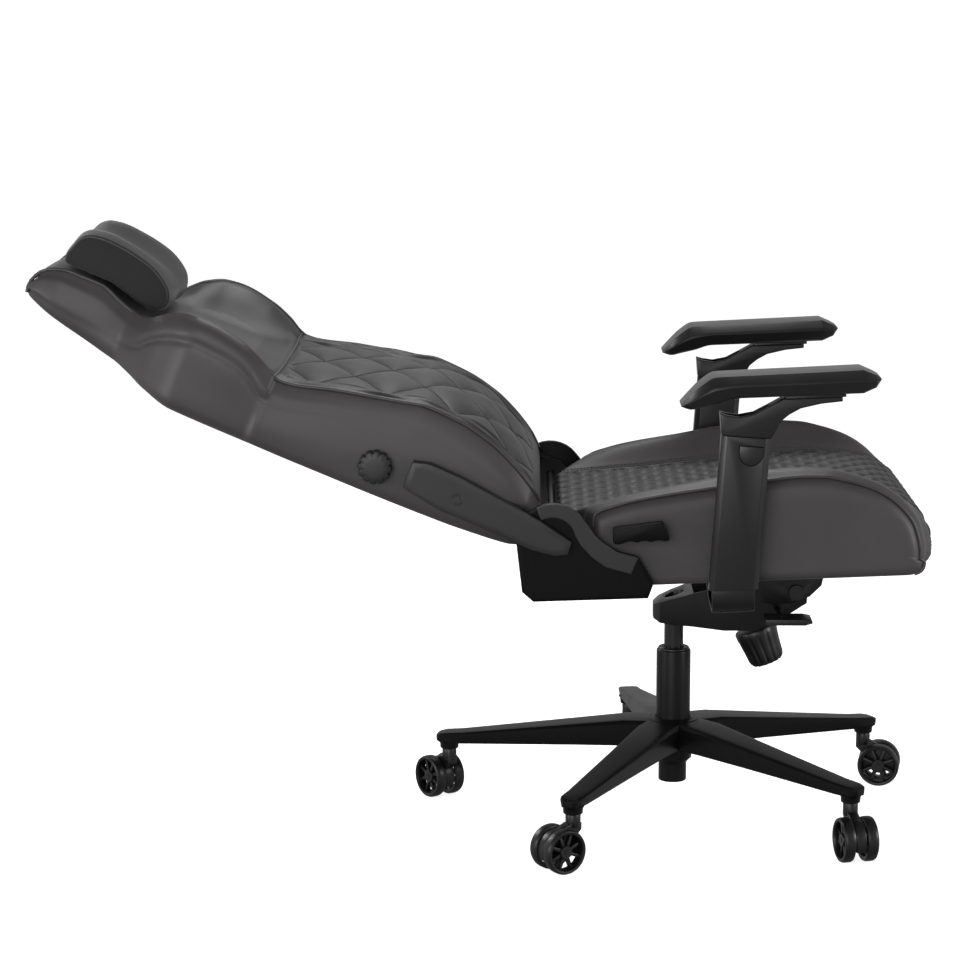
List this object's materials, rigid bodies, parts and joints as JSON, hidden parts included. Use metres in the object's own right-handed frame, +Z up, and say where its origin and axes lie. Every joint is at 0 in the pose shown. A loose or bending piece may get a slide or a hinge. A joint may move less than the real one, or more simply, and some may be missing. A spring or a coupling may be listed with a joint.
{
  "type": "gaming chair",
  "caption": "Reclining gaming chair with winged quilted back, bucket seat, head pillow, adjustable arms, gas lift and five-star base on twin-wheel casters.",
  "frame": {"origin": "on the floor, under the middle of the chair's bounding box", "axes": "+X the way the chair faces, +Y to the sitter's left, +Z up"},
  "size_m": [1.2783, 0.7055, 0.8589],
  "materials": {
    "leather": "smooth polyurethane leather with a soft sheen, stitched",
    "suede": "brushed microfibre suede",
    "black_metal": "satin black powder coat",
    "black_steel": "black painted pressed steel",
    "bright_steel": "zinc-plated steel",
    "black_plastic": "moulded black plastic, fine texture",
    "grey_plastic": "moulded dark grey plastic, satin",
    "caster_nylon": "black nylon, slight gloss"
  },
  "bodies": {
    "base": {"five_star_base": "black_metal", "column_tube": "black_metal", "column_liner": "black_plastic", "thrust_bearing": "bright_steel"},
    "spindle": {"piston_rod": "bright_steel", "retaining_clip": "bright_steel"},
    "mechanism": {"gas_cylinder": "black_metal", "tilt_housing": "black_steel", "tilt_pivot_pin": "bright_steel", "tension_spring": "bright_steel"},
    "tension": {"tension_knob": "black_plastic", "tension_bolt": "bright_steel"},
    "height_lever": {"height_lever": "black_plastic"},
    "seat": {"seat_cushion": "leather", "seat_pan": "black_steel", "seat_plate": "black_steel", "recline_bracket_right": "black_steel", "recline_bracket_left": "black_steel", "side_cover_right": "black_plastic", "side_cover_left": "black_plastic", "cover_trim_right": "grey_plastic", "cover_trim_left": "grey_plastic", "arm_bracket_right": "black_steel", "arm_bracket_left": "black_steel", "arm_post_right": "black_plastic", "arm_post_left": "black_plastic", "recline_shaft": "bright_steel"},
    "backrest": {"back_cushion": "leather", "hinge_arm_right": "black_steel", "hinge_arm_left": "black_steel", "arm_cover_right": "grey_plastic", "arm_cover_left": "grey_plastic"},
    "recline_lever": {"recline_lever": "black_plastic"},
    "lumbar_knob": {"lumbar_knob": "grey_plastic"},
    "head_pillow": {"head_pillow": "suede"},
    "arm_right": {"arm_riser_right": "black_plastic"},
    "button_right": {"height_button_right": "black_plastic"},
    "plate_right": {"pad_plate_right": "black_steel"},
    "pad_right": {"arm_pad_right": "black_plastic"},
    "arm_left": {"arm_riser_left": "black_plastic"},
    "button_left": {"height_button_left": "black_plastic"},
    "plate_left": {"pad_plate_left": "black_steel"},
    "pad_left": {"arm_pad_left": "black_plastic"},
    "caster_1": {"caster_fork_1": "caster_nylon"},
    "wheel_1_right": {"wheel_1_right": "caster_nylon"},
    "wheel_1_left": {"wheel_1_left": "caster_nylon"},
    "caster_2": {"caster_fork_2": "caster_nylon"},
    "wheel_2_right": {"wheel_2_right": "caster_nylon"},
    "wheel_2_left": {"wheel_2_left": "caster_nylon"},
    "caster_3": {"caster_fork_3": "caster_nylon"},
    "wheel_3_right": {"wheel_3_right": "caster_nylon"},
    "wheel_3_left": {"wheel_3_left": "caster_nylon"},
    "caster_4": {"caster_fork_4": "caster_nylon"},
    "wheel_4_right": {"wheel_4_right": "caster_nylon"},
    "wheel_4_left": {"wheel_4_left": "caster_nylon"},
    "caster_5": {"caster_fork_5": "caster_nylon"},
    "wheel_5_right": {"wheel_5_right": "caster_nylon"},
    "wheel_5_left": {"wheel_5_left": "caster_nylon"}
  },
  "joints": [
    {"name": "seat_swivel", "type": "hinge", "parent": "base", "child": "spindle", "pos_m": [0.2815, 0, 0], "axis": [0, 0, 1], "continuous": true},
    {"name": "gas_lift", "type": "slide", "parent": "spindle", "child": "mechanism", "axis": [0, 0, 1], "range_m": [0, 0.1]},
    {"name": "tension_turn", "type": "hinge", "parent": "mechanism", "child": "tension", "pos_m": [0.4085, 0, 0.2525], "axis": [-0.3665, 0, 0.9304], "continuous": true},
    {"name": "height_release", "type": "hinge", "parent": "mechanism", "child": "height_lever", "pos_m": [0.4275, 0, 0.3155], "axis": [0, -1, 0], "range_deg": [0, 10], "stiffness_Nm_per_rad": 1.5, "springref_deg": -11.46},
    {"name": "seat_tilt", "type": "hinge", "parent": "mechanism", "child": "seat", "pos_m": [0.4515, 0, 0.346], "axis": [0, -1, 0], "range_deg": [0, 10], "stiffness_Nm_per_rad": 350, "springref_deg": -34.38},
    {"name": "back_recline", "type": "hinge", "parent": "seat", "child": "backrest", "pos_m": [0.10154, 0, 0.45702], "axis": [0, 1, 0], "range_deg": [0, 65]},
    {"name": "recline_release", "type": "hinge", "parent": "seat", "child": "recline_lever", "pos_m": [0.19231, 0, 0.46433], "axis": [0, -1, 0], "range_deg": [0, 25], "stiffness_Nm_per_rad": 1.5, "springref_deg": -11.46},
    {"name": "lumbar_turn", "type": "hinge", "parent": "backrest", "child": "lumbar_knob", "pos_m": [-0.14087, 0, 0.55644], "axis": [0, -1, 0], "range_deg": [-180, 180]},
    {"name": "pillow_slide", "type": "slide", "parent": "backrest", "child": "head_pillow", "axis": [-0.9252, 0, 0.3795], "range_m": [-0.04, 0.01]},
    {"name": "arm_height_right", "type": "slide", "parent": "seat", "child": "arm_right", "axis": [0.068, 0, 0.9977], "range_m": [0, 0.07]},
    {"name": "arm_button_right", "type": "slide", "parent": "seat", "child": "button_right", "axis": [0, 1, 0], "range_m": [0, 0.002], "stiffness_N_per_m": 400, "springref_m": -0.002},
    {"name": "pad_swivel_right", "type": "hinge", "parent": "arm_right", "child": "plate_right", "pos_m": [0.44846, -0.288, 0.65723], "axis": [-0.0419, 0, 0.9991], "range_deg": [-20, 20]},
    {"name": "pad_slide_right", "type": "slide", "parent": "plate_right", "child": "pad_right", "axis": [0.9991, 0, 0.0419], "range_m": [-0.03, 0.03]},
    {"name": "arm_height_left", "type": "slide", "parent": "seat", "child": "arm_left", "axis": [0.068, 0, 0.9977], "range_m": [0, 0.07]},
    {"name": "arm_button_left", "type": "slide", "parent": "seat", "child": "button_left", "axis": [0, -1, 0], "range_m": [0, 0.002], "stiffness_N_per_m": 400, "springref_m": -0.002},
    {"name": "pad_swivel_left", "type": "hinge", "parent": "arm_left", "child": "plate_left", "pos_m": [0.44846, 0.288, 0.65723], "axis": [-0.0419, 0, 0.9991], "range_deg": [-20, 20]},
    {"name": "pad_slide_left", "type": "slide", "parent": "plate_left", "child": "pad_left", "axis": [0.9991, 0, 0.0419], "range_m": [-0.03, 0.03]},
    {"name": "caster_turn_1", "type": "hinge", "parent": "base", "child": "caster_1", "pos_m": [0.5791, 0.15294, 0], "axis": [0, 0, 1], "continuous": true},
    {"name": "wheel_roll_1_right", "type": "hinge", "parent": "caster_1", "child": "wheel_1_right", "pos_m": [0.60372, 0.1486, 0.0315], "axis": [0.1736, 0.9848, 0], "continuous": true},
    {"name": "wheel_roll_1_left", "type": "hinge", "parent": "caster_1", "child": "wheel_1_left", "pos_m": [0.60372, 0.1486, 0.0315], "axis": [0.1736, 0.9848, 0], "continuous": true},
    {"name": "caster_turn_2", "type": "hinge", "parent": "base", "child": "caster_2", "pos_m": [0.228, 0.3303, 0], "axis": [0, 0, 1], "continuous": true},
    {"name": "wheel_roll_2_right", "type": "hinge", "parent": "caster_2", "child": "wheel_2_right", "pos_m": [0.253, 0.3303, 0.0315], "axis": [0, 1, 0], "continuous": true},
    {"name": "wheel_roll_2_left", "type": "hinge", "parent": "caster_2", "child": "wheel_2_left", "pos_m": [0.253, 0.3303, 0.0315], "axis": [0, 1, 0], "continuous": true},
    {"name": "caster_turn_3", "type": "hinge", "parent": "base", "child": "caster_3", "pos_m": [-0.04916, 0.05119, 0], "axis": [0, 0, 1], "continuous": true},
    {"name": "wheel_roll_3_right", "type": "hinge", "parent": "caster_3", "child": "wheel_3_right", "pos_m": [-0.06421, 0.07115, 0.0315], "axis": [-0.7986, -0.6018, 0], "continuous": true},
    {"name": "wheel_roll_3_left", "type": "hinge", "parent": "caster_3", "child": "wheel_3_left", "pos_m": [-0.06421, 0.07115, 0.0315], "axis": [-0.7986, -0.6018, 0], "continuous": true},
    {"name": "caster_turn_4", "type": "hinge", "parent": "base", "child": "caster_4", "pos_m": [0.13064, -0.29866, 0], "axis": [0, 0, 1], "continuous": true},
    {"name": "wheel_roll_4_right", "type": "hinge", "parent": "caster_4", "child": "wheel_4_right", "pos_m": [0.10991, -0.31264, 0.0315], "axis": [0.5592, -0.829, 0], "continuous": true},
    {"name": "wheel_roll_4_left", "type": "hinge", "parent": "caster_4", "child": "wheel_4_left", "pos_m": [0.10991, -0.31264, 0.0315], "axis": [0.5592, -0.829, 0], "continuous": true},
    {"name": "caster_turn_5", "type": "hinge", "parent": "base", "child": "caster_5", "pos_m": [0.51892, -0.23577, 0], "axis": [0, 0, 1], "continuous": true},
    {"name": "wheel_roll_5_right", "type": "hinge", "parent": "caster_5", "child": "wheel_5_right", "pos_m": [0.52455, -0.26013, 0.0315], "axis": [0.9744, 0.225, 0], "continuous": true},
    {"name": "wheel_roll_5_left", "type": "hinge", "parent": "caster_5", "child": "wheel_5_left", "pos_m": [0.52455, -0.26013, 0.0315], "axis": [0.9744, 0.225, 0], "continuous": true}
  ]
}
